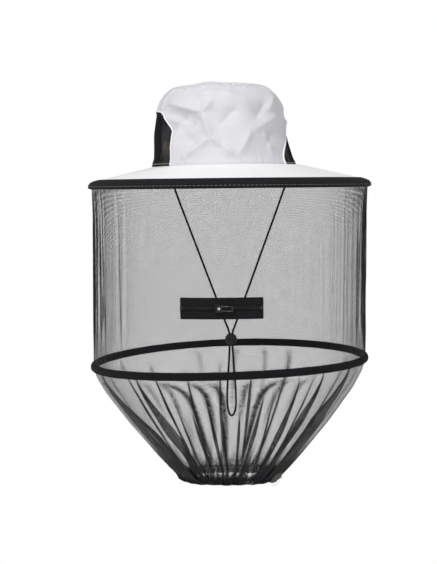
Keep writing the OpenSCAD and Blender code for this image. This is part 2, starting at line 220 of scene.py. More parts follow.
class Paint:
    """The nodes of a material, or of the world, under construction."""

    def __init__(self, owner):
        self.owner = bpy.data.materials.new(owner) if isinstance(owner, str) else owner
        self.owner.use_nodes = True
        self.tree = self.owner.node_tree
        self.tree.nodes.clear()

    def node(self, kind, inputs=None, output=0, **settings):
        """Adds a node, and gives the output that it is wanted for."""
        n = self.tree.nodes.new("ShaderNode" + kind)
        for key, value in settings.items():
            setattr(n, key, value)
        for key, value in (inputs or {}).items():
            if isinstance(value, bpy.types.NodeSocket):
                self.tree.links.new(value, n.inputs[key])
            else:
                n.inputs[key].default_value = value
        return n.outputs[output] if len(n.outputs) else None

    def math(self, operation, a, b):
        return self.node("Math", {0: a, 1: b}, operation=operation)

    def add(self, a, b):
        return self.math("ADD", a, b)

    def times(self, a, b):
        return self.math("MULTIPLY", a, b)

    def coords(self, use="UV", scale=(1, 1, 1)):
        source = self.node("TexCoord", output=use)
        return self.node("Mapping", {"Vector": source, "Scale": scale})

    def noise(self, vector, scale, detail=3.0):
        inputs = {"Vector": vector, "Scale": scale, "Detail": detail, "Roughness": 0.55}
        return self.node("TexNoise", inputs, "Fac")

    def threads(self, vector, pitch, direction):
        """Ridges at a pitch across a direction."""
        inputs = {"Vector": vector, "Scale": 0.31416 / pitch, "Detail": 2.0, "Detail Scale": 1.5}
        return self.node("TexWave", inputs, "Fac", bands_direction=direction)

    def ramp(self, fac, low, high, start=0.0, end=1.0):
        inputs = {"Value": fac, "From Min": start, "From Max": end, "To Min": low, "To Max": high}
        return self.node("MapRange", inputs)

    def tint(self, fac, dark, light):
        return self.node("Mix", {0: fac, 6: (*dark, 1), 7: (*light, 1)}, 2, data_type="RGBA")

    def bump(self, height, strength, distance, under=None):
        inputs = {"Height": height, "Strength": strength, "Distance": distance}
        if under is not None:
            inputs["Normal"] = under
        return self.node("Bump", inputs)

    def mix(self, share, first, second):
        return self.node("MixShader", {0: share, 1: first, 2: second})

    def output(self, shader, kind="OutputMaterial"):
        self.node(kind, {"Surface": shader})
        return self.owner

    def finish(self, colour, roughness, normal, alpha=None, **more):
        """The material itself, see-through where alpha is 0."""
        inputs = {"Base Color": colour, "Roughness": roughness, "Normal": normal}
        inputs.update({key.replace("_", " "): value for key, value in more.items()})
        shader = self.node("BsdfPrincipled", inputs)
        if alpha is not None:
            shader = self.mix(alpha, self.node("BsdfTransparent"), shader)
        return self.output(shader)


def woven(name, dark, light, thread, rough=0.85, use="UV", strength=0.25, sheen=0.25, gloss=0.4):
    """Plain woven cloth. thread is the pitch of its threads, dark and light its two tones."""
    p = Paint(name)
    uv = p.coords(use)
    weave = p.times(p.threads(uv, thread, "X"), p.threads(uv, thread, "Y"))
    fluff = p.noise(uv, 900, 2)
    cloud = p.noise(uv, 22)
    tone = p.add(p.times(cloud, 0.5), p.times(p.add(weave, fluff), 0.25))
    height = p.add(weave, p.times(fluff, 0.5))
    normal = p.bump(height, strength, thread * 0.5)
    normal = p.bump(p.noise(uv, 140, 4), strength * 0.6, 0.0006, normal)
    colour = p.tint(p.ramp(tone, 0, 1, 0.2, 0.75), dark, light)
    return p.finish(colour, p.ramp(fluff, rough - 0.06, rough + 0.06), normal, Sheen_Weight=sheen,
                    Sheen_Roughness=0.5, Specular_IOR_Level=gloss)


def tulle(name, cover, close, dark, light):
    """Net of fine threads, see-through in its holes. Its threads thicken by the attribute dense. cover is the
    threads' share of it seen square on, and close is how much its holes close up at a slant."""
    p = Paint(name)
    uv = p.coords("UV", (1000, 1000, 1))
    w, h = 0.60, 0.54  # a cell in millimetres
    half = ((w + h) - math.sqrt((w + h) ** 2 - 4 * w * h * cover)) / 4
    dense = p.node("Attribute", output="Fac", attribute_name="dense")
    patch = p.noise(p.coords("UV"), 60)
    facing = p.node("LayerWeight", {"Blend": 0.5}, "Facing")
    # the threads stand proud of the net, so its holes close up where it is seen along its surface
    closing = p.math("MINIMUM", p.times(p.math("POWER", facing, 3.0), close), 0.28 * close)
    mottled = p.times(dense, p.ramp(p.noise(p.coords("UV"), 300, 2), 0.0, 2.0))
    spread = p.add(p.add(mottled, closing), p.add(p.times(patch, 0.2), 0.9))
    bricks = {"Vector": uv, "Scale": 1.0, "Mortar Size": p.times(half, spread), "Mortar Smooth": 0.0,
              "Brick Width": w, "Row Height": h}
    thread = p.node("TexBrick", bricks, "Fac", offset=0.5)
    colour = p.tint(p.noise(uv, 0.6, 2), dark, light)
    normal = p.bump(thread, 0.5, 0.0002)
    return p.finish(colour, p.ramp(patch, 0.6, 0.8), normal, thread, Sheen_Weight=0.03,
                    Specular_IOR_Level=0.15)


def ribbed(name, dark, light, pitch, use="UV", axis="X", gloss=0.12):
    """Corded ribbon or webbing with ribs across it."""
    p = Paint(name)
    uv = p.coords(use)
    rib = p.threads(uv, pitch, axis)
    fluff = p.noise(uv, 1200, 2)
    cloud = p.noise(uv, 40)
    tone = p.times(p.add(rib, p.add(fluff, cloud)), 0.33)
    normal = p.bump(p.add(rib, p.times(fluff, 0.4)), 0.5, pitch * 0.4)
    return p.finish(p.tint(tone, dark, light), p.ramp(fluff, 0.62, 0.8), normal, Sheen_Weight=0.03,
                    Specular_IOR_Level=gloss)


def plastic(name, dark, light, rough=0.42, gloss=0.3):
    """Moulded plastic with a faint grain and dust."""
    p = Paint(name)
    at = p.coords("Object")
    dust = p.noise(at, 160, 4)
    normal = p.bump(p.noise(at, 2600, 2), 0.12, 0.0001)
    colour = p.tint(p.ramp(dust, 0, 1, 0.35, 0.7), dark, light)
    return p.finish(colour, p.ramp(dust, rough - 0.08, rough + 0.14), normal, Specular_IOR_Level=gloss)


def metal(name, dark, light, rough=0.32, metallic=1.0):
    """Plated metal, brushed and a little worn."""
    p = Paint(name)
    scratch = p.noise(p.coords("Object", (1, 1, 6)), 900, 4)
    wear = p.noise(p.coords("Object"), 240, 4)
    normal = p.bump(scratch, 0.08, 0.0001)
    colour = p.tint(p.ramp(wear, 0, 1, 0.35, 0.65), dark, light)
    return p.finish(colour, p.ramp(scratch, rough - 0.08, rough + 0.12), normal, Metallic=metallic)


def grey(level, blue):
    """A colour in thousandths, whose red and green are level."""
    return level / 1000, level / 1000, blue / 1000


WHITE = woven("crown_cloth", grey(620, 650), grey(710, 740), 0.0006)
BRIM_WHITE = woven("brim_cloth", grey(850, 860), grey(910, 920), 0.0007)
YOKE = woven("yoke_cloth", grey(570, 600), grey(670, 700), 0.0006)
PIPING = woven("piping_cloth", grey(840, 850), grey(920, 930), 0.0005)
LINING = woven("lining_cloth", (0.52, 0.51, 0.50), (0.66, 0.65, 0.63), 0.0007)
SWEAT = woven("sweatband_towel", (0.50, 0.42, 0.33), (0.66, 0.58, 0.47), 0.0011, 0.92, strength=0.5,
              sheen=0.5)
LABEL = woven("label_cloth", grey(50, 45), (0.15, 0.145, 0.125), 0.0005, sheen=0.05, gloss=0.15)
KHAKI = woven("label_thread", (0.06, 0.055, 0.03), (0.16, 0.15, 0.085), 0.0004, use="Object", sheen=0.05,
              gloss=0.15)
THREAD = woven("white_thread", grey(500, 530), grey(700, 730), 0.0004, use="Object")
GREY_THREAD = woven("grey_thread", grey(120, 130), grey(240, 250), 0.0004, use="Object")
VENT = plastic("vent_strand", grey(4, 5), grey(16, 18), 0.5, 0.2)
BINDING = ribbed("brim_binding", grey(3, 4), grey(16, 18), 0.0009)
TAPE = ribbed("black_tape", grey(3, 4), grey(12, 14), 0.0010)
TULLE = tulle("tulle", 0.31, 4.6, grey(4, 6), grey(22, 26))
TULLE_SKIRT = tulle("tulle_gathered", 0.28, 2.8, grey(3, 5), grey(18, 22))
TULLE_HEM = tulle("tulle_hem", 0.62, 1.5, grey(3, 4), grey(14, 16))
SLEEVE = woven("hoop_sleeve_cloth", grey(3, 4), grey(12, 15), 0.0007, 0.8, strength=0.5,
               sheen=0.03, gloss=0.1)
ZIP_TAPE = ribbed("zip_tape", grey(3, 4), grey(14, 16), 0.0007)
COIL = plastic("zip_coil_nylon", grey(6, 7), grey(22, 24), 0.4)
CORD = ribbed("cord_braid", grey(3, 4), grey(14, 16), 0.0012, use="Object", axis="Z")
WEBBING = ribbed("webbing", grey(4, 5), grey(18, 20), 0.0011)
LOCK = plastic("lock_plastic", grey(6, 7), grey(18, 19))
# lighter plastic for the lock's ribs: a painted highlight
LOCK_HIGHLIGHT = plastic("lock_plastic_worn", grey(20, 21), grey(60, 63), 0.35, 0.5)
# bare metal for the pull's hub: wear, and a painted glint
SILVER_WEAR_GLINT = metal("zip_silver", grey(550, 560), grey(900, 910), 0.25)
PULLER = metal("zip_puller_painted", grey(6, 7), grey(25, 27), 0.42, 0.3)
# lighter metal for the pull's rim: wear, and a painted highlight
PULLER_WEAR_HIGHLIGHT = metal("zip_puller_worn", grey(50, 53), grey(220, 230), 0.35, 0.8)
STEEL = metal("spring_steel", grey(350, 360), grey(600, 620))
BOARD = plastic("stiffening_board", (0.60, 0.55, 0.46), (0.74, 0.70, 0.62), 0.8, 0.35)
ELASTIC = ribbed("elastic", grey(550, 560), grey(750, 760), 0.0012, gloss=0.3)

# ---- chin cord, on the route in part.scad ----

LEG = [
    (81.5, -7), (77, -7), (74.6, -8.4), (73, -11.5), (71.5, -15.5), (66, -30), (58, -52),
    (48, -79), (38, -106), (28, -133), (18, -160), (10, -182), (5.5, -194), (2.8, -201),
    (1.7, -206), (1.7, -212),
]
TAIL = [
    (1.7, -220), (2.2, -229), (2.9, -241), (3.8, -254), (4.7, -267), (5.3, -279),
    (5.4, -288), (5, -295), (3.8, -301), (2, -304.8), (0, -306.2),
]
CORD_D = 2.6
route = [(-x, z) for x, z in LEG + TAIL] + (LEG + TAIL)[-2::-1]
curve = bpy.data.curves.new("chin_cord", "CURVE")
curve.dimensions = "3D"
curve.bevel_depth = CORD_D * MM / 2
curve.bevel_resolution = 3
curve.resolution_u = 6
spline = curve.splines.new("BEZIER")
spline.bezier_points.add(len(route) - 1)
for point, (x, z) in zip(spline.bezier_points, route):
    point.co = (x * MM, 0, z * MM)
    point.handle_left_type = point.handle_right_type = "AUTO"
curve.materials.append(CORD)
chin_cord = placed("chin_cord_line", curve)
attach(chin_cord, "chin_cord")
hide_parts("chin_cord_left", "chin_cord_right", "chin_cord_loop")

# an overhand knot at each end: a trefoil of the cord's own thickness
turn = around(40)[:, 0]
trefoil = stack(
    0.55 * sin(3 * turn),
    0.62 * (sin(turn) + 2 * sin(2 * turn)) / 2,
    0.62 * (cos(turn) - 2 * cos(2 * turn)) / 2,
) * 1.6
knots = [sweep_tube(trefoil + array([x, 0, -7]), 1.05, closed=True, up=(1, 0.1, 0.05)) for x in (-81.9, 81.9)]
cord_knots = piece("chin_cord_knots", *join(knots), "chin_cord", "cord", CORD)

# ---- crown ----

CROWN_R, CROWN_H = 88, 101
SHOULDER_R, SHOULDER_Z, TOP_R = 78, 62, 38
SEAM_R = 58
CLOTH_T = 0.8
LEFT_TURN = pi + radians(9.5)
VENT_H = 66
VENT_CELL = 1.3
YOKE_HALF = 20.5

arc = linspace(0, pi / 2, 40)
arc_r = TOP_R + (SHOULDER_R - TOP_R) * cos(arc)
arc_z = SHOULDER_Z + (CROWN_H - SHOULDER_Z) * sin(arc)
outline_r = concatenate([linspace(CROWN_R, SHOULDER_R, 20)[:-1], arc_r, [0]])
outline_z = concatenate([linspace(0, SHOULDER_Z, 20)[:-1], arc_z, [CROWN_H]])
outline_s = concatenate([[0], np.cumsum(hypot(np.diff(outline_r), np.diff(outline_z)))])
CROWN_S = outline_s[-1]
SEAM_S = interp(-SEAM_R, -outline_r, outline_s)


def height_to_s(z):
    """How far along the crown's outline a height is."""
    return interp(z, outline_z[:-1], outline_s[:-1])


def s_to_height(s):
    return interp(s, outline_s, outline_z)


def s_to_radius(s):
    return interp(s, outline_s, outline_r)


# Creases pressed into the crown: angle from the front in degrees and distance up the outline in mm, at both
# ends, then height and width in mm
CREASES = [
    (-7.5, 33, -15, 62, 4.2, 6), (-15, 62, -7, 76, 3.4, 5), (-7.5, 33, -29, 12, 3.7, 6),
    (-29, 12, -34, 8, 2.0, 6), (-7.5, 33, 9, 12, 3.8, 6), (13.6, 14, 25.6, 39, 2.6, 7),
    (25.6, 40, 62, 60, 2.0, 9), (-52, 76, -17, 63, 4.3, 6), (5, 86, 27, 75, 2.0, 6),
    (-44, 16, -38, 52, 2.0, 7), (44, 18, 40, 40, 1.8, 7), (48, 66, 62, 84, 2.0, 7),
    (-20, 84, 0, 88, 1.8, 5), (-60, 60, -30, 48, 2.0, 6), (-48, 40, -30, 58, -3.2, 8),
    (-22, 46, -18, 56, -2.0, 6), (2, 50, 14, 66, -2.4, 9), (40, 24, 52, 46, -2.0, 8),
    (-2, 18, 0, 28, -2.0, 6), (-20, 24, -28, 34, -1.8, 7), (34, 56, 46, 74, -2.2, 8),
]
for k in range(20):
    phi = 75 + 210 * rng.random()
    s = 14 + 74 * rng.random()
    end = phi + 20 * rng.uniform(-1, 1)
    CREASES.append((phi, s, end, s + rng.uniform(-26, 26), rng.uniform(-2.4, 2.6), rng.uniform(5, 9)))
PUCKER = [(0.6, k, rng.random()) for k in (23, 37, 58, 83)]
SOFT = [(0.9, 2, 0.1), (0.8, 3, 0.45), (0.6, 5, 0.8), (0.4, 8, 0.3)]
ROUND = 1.4  # millimetres to a degree round the crown


def crown_relief(theta, s):
    """How far the soft cloth stands off the plain crown."""
    phi = (np.degrees(theta) - 270 + 180) % 360 - 180
    past_seam = s - SEAM_S
    ridges = np.zeros(np.broadcast(phi, s).shape)
    hollows = np.zeros(ridges.shape)
    for p1, s1, p2, s2, high, wide in CREASES:
        x = ((phi - p1 + 180) % 360 - 180) * ROUND
        y = s - s1
        dx, dy = (p2 - p1) * ROUND, s2 - s1
        t = clip((x * dx + y * dy) / (dx * dx + dy * dy), 0, 1)
        away = hypot(hypot(x - t * dx, y - t * dy), 1) - 1
        shape = abs(high) * (1 - 0.45 * abs(2 * t - 1) ** 4) * exp(-((away / (0.9 * wide)) ** 1.1))
        side = ridges if high > 0 else hollows
        side += shape ** 3
    total = 1.75 * (np.cbrt(ridges) - np.cbrt(hollows))
    turn = theta / TAU
    middle = clip(np.minimum(s / 30, (CROWN_S - s) / 60), 0, 1)
    total = total + waves(turn + 0.0012 * s, SOFT) * middle
    near_seam = exp(-abs(past_seam) / 5) + 0.8 * exp(-s / 5)
    total = total + waves(turn, PUCKER) * near_seam
    total = total - 1.1 * exp(-((past_seam / 1.6) ** 2)) - 1.6 * clip(past_seam / 20, 0, 1)
    return (total - 1.7) * clip((s + 1) / 10, 0.15, 1)


def crown_point(theta, s, off=0.0):
    """A point on the crown's cloth, standing off from it. The crown leans to the wearer's right."""
    theta, s = np.broadcast_arrays(np.asarray(theta, float), np.asarray(s, float))
    ahead, behind = clip(s + 1, 0, CROWN_S), clip(s - 1, 0, CROWN_S)
    dr = s_to_radius(ahead) - s_to_radius(behind)
    dz = s_to_height(ahead) - s_to_height(behind)
    size = hypot(dr, dz) + 1e-12
    lift = crown_relief(theta, s) + off
    z = s_to_height(s) - lift * dr / size
    lean = -6.3 - 4.6 * clip(z / 38, 0, 1)
    return polar(s_to_radius(s) + lift * dz / size, theta, z, lean)


vent_half = smooth_line(
    array([0, 17, 30, 38, 46, 55, 62, 65, 66]),
    array([49.6, 49.2, 48.0, 45.9, 42.4, 34.8, 27.6, 17, 0.1]),
)


def side_half(z):
    """Half the width at a height of the side that is left between the front and back panels."""
    return np.maximum(vent_half(np.minimum(z, VENT_H)), YOKE_HALF - 0.04 * (z - 62))


def yoke_half(s):
    """Half the width of the cloth above a vent."""
    return np.minimum(side_half(s_to_height(s)), YOKE_HALF + 1.5)


def side_middle(side, s):
    """The angle of a side's middle. The soft crown is pushed round on its right, more so higher up."""
    if side < 0:
        return LEFT_TURN + 0 * s
    rise = clip((s - 2) / 54, 0, 1)
    return radians(0.5) + radians(29) * rise * rise * (3 - 2 * rise)


def side_theta(side, across, s):
    """The angle of a point this far across from a side's middle. side is -1 for left and 1 for right."""
    return side_middle(side, s) + np.arcsin(clip(across / s_to_radius(s), -1, 1))


def side_point(side, across, s, off):
    return crown_point(side_theta(side, across, s), s, off)


def panel(name, replaced, from_side):
    """The front or back panel of the crown, round from one side's vent to the other's."""
    u = linspace(0, 1, 120)[:, None]
    s = np.maximum(span(-1.5, SEAM_S, 72), 0)
    edge = np.arcsin(clip(side_half(s_to_height(s)) / s_to_radius(s), 0, 1))
    first, last = side_middle(from_side, s), side_middle(-from_side, s)
    last = last + (TAU if from_side < 0 else 0)
    theta = first + edge + u * (last - first - 2 * edge)
    pts = crown_point(theta, s)
    thick(piece(name, pts, grid(pts), "hat", "crown_fabric", WHITE, replaced, stack(theta * 80, s)), CLOTH_T)


def vent_lattice(side):
    """The open mesh of a vent: a lattice of diamonds, whose edges become strands."""
    numbers, pts, faces = {}, [], []

    def corner(i, j):
        if (i, j) not in numbers:
            z = min(j * VENT_CELL, VENT_H)
            limit = vent_half(z) + 0.6
            numbers[i, j] = len(pts)
            across = min(max(i * VENT_CELL, -limit), limit)
            pts.append(side_point(side, across, height_to_s(z), -0.4))
        return numbers[i, j]

    reach = int(52 / VENT_CELL) + 2
    for j in range(1, int(66 / VENT_CELL) + 1):
        for i in range(-reach, reach + 1):
            inside = abs(i) * VENT_CELL < vent_half(min(j * VENT_CELL, VENT_H)) + 0.5
            if (i + j) % 2 and inside:
                faces.append([corner(i - 1, j), corner(i, j - 1), corner(i + 1, j), corner(i, j + 1)])
    pts = array(pts)
    gaps = [min(np.linalg.norm(pts[a] - pts[b]) for a, b in zip(f, f[1:] + f[:1])) for f in faces]
    return pts, [f for f, gap in zip(faces, gaps) if gap > 0.2]


panel("crown_front_cloth", "crown_front", -1)
panel("crown_back_cloth", "crown_back", 1)

# the round top panel
cols, rows = 168, 40
theta, s = around(cols), span(SEAM_S, CROWN_S - 0.5, rows)
pts, uv = crown_point(theta, s), polar(CROWN_S - s, theta, 0)[..., :2]
faces = list(grid(pts, wrap=True)) + [[i * rows + rows - 1 for i in range(cols)]]
thick(piece("crown_top_cloth", pts, faces, "hat", "crown_fabric", WHITE, "crown_top", uv), CLOTH_T)

for side, word in ((-1, "left"), (1, "right")):
    # the cloth above the vent
    q = linspace(-1, 1, 30)[:, None]
    heights = linspace(0, VENT_H, 200)
    low = height_to_s(interp(-abs(q) * YOKE_HALF, -vent_half(heights), heights))
    s = low + span(0, 1, 26) * (SEAM_S - low)
    theta = side_theta(side, q * yoke_half(s), s)
    pts = crown_point(theta, s)
    yoke = piece("crown_yoke_" + word, pts, grid(pts), "hat", "crown_fabric", YOKE, "crown_side_" + word,
                 stack(theta * 80, s))
    thick(yoke, CLOTH_T)

    # its vent, and a dark net behind it that stands for the shade inside the crown: painted shade
    vent = piece("vent_net_" + word, *vent_lattice(side), "hat", "vent_mesh", VENT, "vent_mesh_" + word)
    wire = vent.modifiers.new("strands", "WIREFRAME")
    wire.thickness = 0.68 * MM
    wire.use_even_offset = False
    wire.use_boundary = True
    # painted shade: a dark net behind the vent, thinner near its front foot so specks of light come through
    q, z = linspace(-1, 1, 60)[:, None], span(0.2, VENT_H - 0.5, 30)
    pts = side_point(side, q * (vent_half(z) + 0.3), height_to_s(z), -1.6)
    thin = exp(-(((side * q + 0.55) / 0.35) ** 2) - ((z - 26) / 24) ** 2)
    piece("vent_shade_net_" + word, pts, grid(pts), "hat", "vent_mesh", TULLE_HEM, uv=stack(q * 50, z),
          dense=0.3 - 1.3 * thin)

    # the white piping round the vent, and the seams that run up from it
    rise = concatenate([linspace(0, 60, 30), linspace(60, VENT_H, 14)[1:]])
    across = concatenate([vent_half(rise), -vent_half(rise)[-2::-1]])
    along = height_to_s(concatenate([rise, rise[-2::-1]]))
    path = side_point(side, across, along, 0.5)
    out = side_point(side, across, along, 5) - path
    tubes = [sweep_tube(path, 0.95, 10, up=out)]
    for edge in (-1, 1):
        s = linspace(height_to_s(61), SEAM_S, 14)
        tubes.append(sweep_tube(side_point(side, edge * yoke_half(s), s, 0.25), 0.6, 6))
    pts, faces = join(tubes)
    piece("vent_piping_cloth_" + word, pts, faces, "hat", "piping", PIPING, "vent_piping_" + word,
          pts[:, [0, 2]])

# the rolled seam between the top panel and the sides, with its puckers
turn = around(260)[:, 0]
puckered = 0.55 + 0.3 * cos(turn * 61) * cos(turn * 17 + TAU * 0.2)
pts, faces = sweep_tube(crown_point(turn, SEAM_S, 0.35), puckered, 6, closed=True)
piece("crown_top_seam", pts, faces, "hat", "crown_fabric", WHITE, uv=pts[:, :2])

# tape that binds the same seam inside
theta, s = around(120), span(SEAM_S - 4, SEAM_S + 4, 7)
pts = crown_point(theta, s, -1.3)
tape = piece("crown_seam_tape", pts, grid(pts, wrap=True), "hat", "lining_tape", LINING, "crown_seam_binding",
             stack(theta * 60, s))
thick(tape, 0.4)

# the sweatband: a soft band, fuller in its middle, sewn at its top and base
theta, v, band_h = around(180), span(0, 1, 14), 30
inside = crown_point(theta, height_to_s(band_h * v), -1.4)
bulge = (1.2 + 0.25 * cos(theta * 90)) * sin(pi * v)
radial = np.minimum(hypot(inside[..., 0], inside[..., 1]), 86.0 - 0.16 * band_h * v)
outer = polar(radial, np.arctan2(inside[..., 1], inside[..., 0]), band_h * v)
inner = outer - polar(bulge + 0.9, theta, 0)
uv = stack(theta * 85, concatenate([v, 1.1 - v], 1) * 30)
pts = concatenate([outer, inner[:, ::-1]], 1)
band = piece("sweatband_padded", pts, ring_quads(pts), "hat", "sweatband", SWEAT, "sweatband", uv)

base_stitches = dashes(150, 0.026, 3, lambda a: crown_point(a, 2.4, 0.15), 0.28)
piece("crown_base_stitches", *base_stitches, "hat", "crown_fabric", THREAD)

# ---- brim ----

BRIM_R, BRIM_DROP = 168, 18.5
CLOTH_R = 166.5  # where the cloths end, inside the binding


def brim_z(r):
    return -BRIM_DROP * (r - CROWN_R) / (BRIM_R - CROWN_R)


base_shift = crown_point(0.0, 0.0)[0] - CROWN_R
theta, v = around(240), span(0, 1, 30)
inner_x = base_shift + 87.2 * cos(theta)
inner_y = 87.2 * sin(theta)
x = inner_x + (CLOTH_R * cos(theta) - inner_x) * v
y = inner_y + (CLOTH_R * sin(theta) - inner_y) * v
soft = waves(theta / TAU, [(0.25, 7, 0.2), (0.2, 11, 0.6), (0.15, 19, 0.1)]) * sin(pi * v)
z = np.minimum(brim_z(hypot(x, y)), 0.2) + soft + 0.5 * exp(-v * 30)
pts = stack(x, y, z)
top_cloth = piece("brim_top_cloth", pts, grid(pts, wrap=True)[:, ::-1], "hat", "brim_fabric", BRIM_WHITE,
                  "brim_top_fabric", stack(theta * 128, v * 79))
thick(top_cloth, 0.6)

flat_r = linspace(93, 166.5, 20)
r = concatenate([[86.6, 86.9, 87.6, 89.5], flat_r])
z = concatenate([[-0.6, -2.5, -5.0, -6.1], brim_z(flat_r) - 5.8])
pts = polar(r, theta, z)
under = piece("brim_under_cloth", pts, grid(pts, wrap=True), "hat", "brim_fabric", BRIM_WHITE,
              "brim_bottom_fabric", stack(theta * 128, r))
thick(under, 0.5)

# the binding: a ribbed band folded round the brim's edge, deepest at its lower lip
lip = array([
    (159, -23.0), (164, -25.3), (168.4, -26.7), (170.6, -26.4), (171.7, -24.9), (171.3, -22.4),
    (169.6, -19.9), (166, -18.0), (159, -16.2)])
line_r, line_z = rounded(lip, 200, 9)
fine = concatenate([[0], np.cumsum(hypot(np.diff(line_r), np.diff(line_z)))])
at = linspace(0, fine[-1], 84)
line_r, line_z = interp(at, fine, line_r), interp(at, fine, line_z)
nr, nz = np.gradient(line_z), -np.gradient(line_r)
size = hypot(nr, nz)
nr, nz = nr / size, nz / size
proud = 0.35 + 0.35 * cos(TAU * at / 3.3 + 0.6)
turn = around(360)
ripple = 0.12 * cos(turn * 127) * cos(turn * 31 + 1)
outer = polar(line_r + nr * proud + ripple, turn, line_z + nz * proud)
inner = polar(line_r - nr * 0.75, turn, line_z - nz * 0.75)
uv = stack(turn * BRIM_R, concatenate([at, at[::-1]]))
pts = concatenate([outer, inner[:, ::-1]], 1)
piece("brim_binding_ribbed", pts, ring_quads(pts), "hat", "binding", BINDING, "brim_edge_binding", uv)
binding_stitches = dashes(215, 0.0185, 4, lambda a: polar(171.55, a, -24.0), 0.3)
piece("binding_stitches", *binding_stitches, "hat", "binding", GREY_THREAD)

# ---- upper veil ----

NET_TOP, NET_BOTTOM = -25.4, -237
NET_H = NET_TOP - NET_BOTTOM
NET_R, HOOP_R, HOOP_Z = 166.5, 165.3, -237
ZIP_Z, ZIP_TURN = -161.4, radians(270 - 3.6)
NET_STEP, NET_START = 0.4, -9.6  # degrees between the net's columns, and where its seam is
SIDE_FOLDS = []  # long folds down the veil's sides: angle, slant, how proud, width, height of their middle
for k in range(26):
    left = k % 2
    spot = left * pi + (2 * left - 1) * rng.normal(0.22, 0.22)
    slant, high, wide = rng.uniform(-0.4, 0.4), -rng.uniform(1.4, 3.6), rng.uniform(1.0, 2.6)
    SIDE_FOLDS.append((spot, slant, high, wide, rng.uniform(-200, -110)))
SIDE_FOLDS += [
    (pi + 0.25, -0.2, -3.4, 3.2, -110), (pi + 0.37, -0.7, -2.4, 1.6, -120),
    (-0.24, 0.1, -3.2, 3.0, -120), (-0.36, 0.3, -2.2, 1.6, -110),
]
RIPPLES = [(a, k, rng.random()) for a, k in ((0.55, 38), (0.5, 61), (0.4, 97), (0.3, 143), (0.16, 211))]


def hoop_shift(theta):
    """How far the bent hoop is above its plane: high on its right and at the back, low on its left."""
    return 0.4 + 4.2 * cos(theta) + 2.6 * sin(theta) - 1.6 * cos(2 * theta)


def net_radius(theta, z):
    """Radius of the rippled upper net."""
    from_foot = clip((z - NET_BOTTOM) / 45, 0.2, 1)
    from_top = clip((NET_TOP - z) / 45, 0.2, 1)
    turn = theta / TAU
    drift = 0.0018 * sin(theta * 3 + 1) * z / 100
    sides = 0.3 + 0.45 * abs(cos(theta)) ** 3
    ripple = waves(turn + drift, RIPPLES) * np.minimum(from_top, from_foot) * sides
    away = hypot((theta - ZIP_TURN) * NET_R / 55, (z - ZIP_Z) / 30)
    ripple = ripple * (1 - exp(-away ** 4))
    for middle, slope, high, wide, z0 in SIDE_FOLDS:
        apart = ((theta - middle - slope * (z - ZIP_Z) / 1000 + pi) % TAU - pi) * NET_R
        along = exp(-((z - z0) / 120) ** 4) * clip((NET_TOP - z) / 9, 0.1, 1)
        ripple = ripple + high * exp(-(apart / wide) ** 2) * along * from_foot
    flare = clip((z - NET_TOP + 34) / 34, 0, 1)
    inside = clip((NET_BOTTOM + 8 - z) / 8, 0, 1)
    return NET_R + 1.5 * flare + ripple - 0.4 - 0.8 * inside


def sway(z):
    """How far the veil hangs to the left of the hat's middle at a height."""
    return -2.2 * clip((NET_TOP - z) / NET_H, 0, 1.5)


def net_point(theta, z, off=0.0):
    """A point of the upper net, standing off from it, moved by the hoop's bend and the veil's sway."""
    tilt = hoop_shift(theta) * clip((NET_TOP - z) / NET_H, 0, 1)
    return polar(net_radius(theta, z) + off, theta, z + tilt, sway(z))


theta = radians(NET_START + NET_STEP * arange(901))[:, None]
slit_low, slit_high = -169.6, -153.2
levels = linspace(NET_BOTTOM, slit_low, 9), linspace(slit_low, slit_high, 3), linspace(slit_high, NET_TOP, 18)
z = concatenate([levels[0], levels[1][1:], levels[2][1:]])[None, :]
first, last = (round((degrees - NET_START) / NET_STEP) for degrees in (251.6, 281.2))


def outside_zip(i, j):
    return ~((i >= first) & (i < last) & (j >= 8) & (j < 10))


pts = net_point(theta, z)
net = piece("veil_net_tulle", pts, grid(pts, keep=outside_zip), "hat", "tulle", TULLE, "veil_net_upper",
            stack(theta * NET_R, z), dense=0)
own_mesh(net)

# the seam that closes the net into a tube
across = linspace(-1, 1, 11)[:, None]
theta, z = radians(1.8 * across - 9.5), span(NET_BOTTOM, NET_TOP - 0.5, 40)
pts = net_point(theta, z, 0.5 * cos(7.5 * across) - 1.0)
seam = piece("veil_seam_tape", pts, grid(pts), "hat", "tulle", TULLE_HEM, "veil_side_seam",
             stack(z, theta * NET_R), dense=0)
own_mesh(seam)

# tape inside the top of the net
theta, z = around(360), span(NET_TOP - 2, NET_TOP, 6)
pts = polar(net_radius(theta, z) - 1.1, theta, z)
tape = piece("veil_top_tape_cloth", pts, grid(pts, wrap=True), "hat", "black_tape", TAPE, "veil_top_tape",
             stack(theta * NET_R, z))
thick(tape, 0.5)

# ---- zip ----

ZIP_HALF = radians(16.2)
COIL_HALF = radians(15.0)
TAPE_R = 166.8
# the tape's section: height from the zip's centre line and height off the net
TAPE_UP, TAPE_OFF = array([
    (0.25, 0.9), (0.6, 1.05), (2.0, 1.25), (2.7, 0.75), (3.3, 0.2), (3.9, 1.2), (5.4, 1.35), (6.4, 0.4),
    (7.4, 1.1), (9.0, 1.0), (9.9, 1.2), (10.6, 0.3), (11.3, 1.15), (12.2, 0.55), (12.1, 0.05), (8, 0.0),
    (4, 0.0), (0.4, 0.05)]).T


def on_zip(angle, r, z):
    """A point of the zip: angle in radians from its middle, radius, and height from its centre line."""
    return polar(r, ZIP_TURN + angle, ZIP_Z + z)


